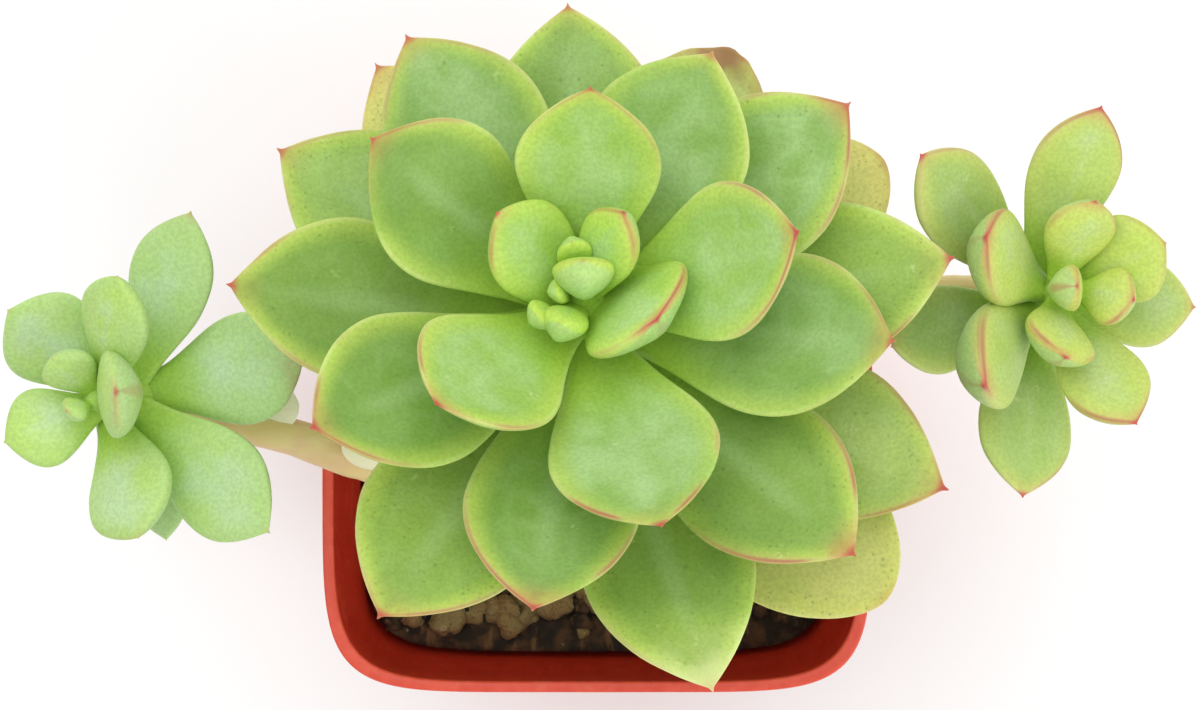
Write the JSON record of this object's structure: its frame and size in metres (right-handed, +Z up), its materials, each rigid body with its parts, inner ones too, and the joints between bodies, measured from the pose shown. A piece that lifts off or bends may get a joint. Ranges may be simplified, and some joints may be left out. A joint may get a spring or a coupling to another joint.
{
  "type": "potted echeveria",
  "caption": "Green echeveria with a leaning main rosette and offsets on runners over the rim of a square red nursery pot of gritty soil.",
  "frame": {"origin": "centre of the pot's flat base", "axes": "+Z up, +X along the line through the two offsets, +Y towards the side that the main rosette leans to"},
  "size_m": [0.1252, 0.0734, 0.1016],
  "materials": {
    "pot_plastic": "satin",
    "potting_soil": "matte",
    "stem_bark": "matte",
    "main_leaf": "satin",
    "runner_skin": "satin",
    "left_offset_leaf": "satin",
    "right_offset_leaf": "satin"
  },
  "bodies": {
    "root": {"pot": "pot_plastic", "soil": "potting_soil", "main_stem": "stem_bark", "main_rosette": "main_leaf", "left_runner": "runner_skin", "right_runner": "runner_skin", "left_offset": "left_offset_leaf", "right_offset": "right_offset_leaf"}
  },
  "joints": []
}
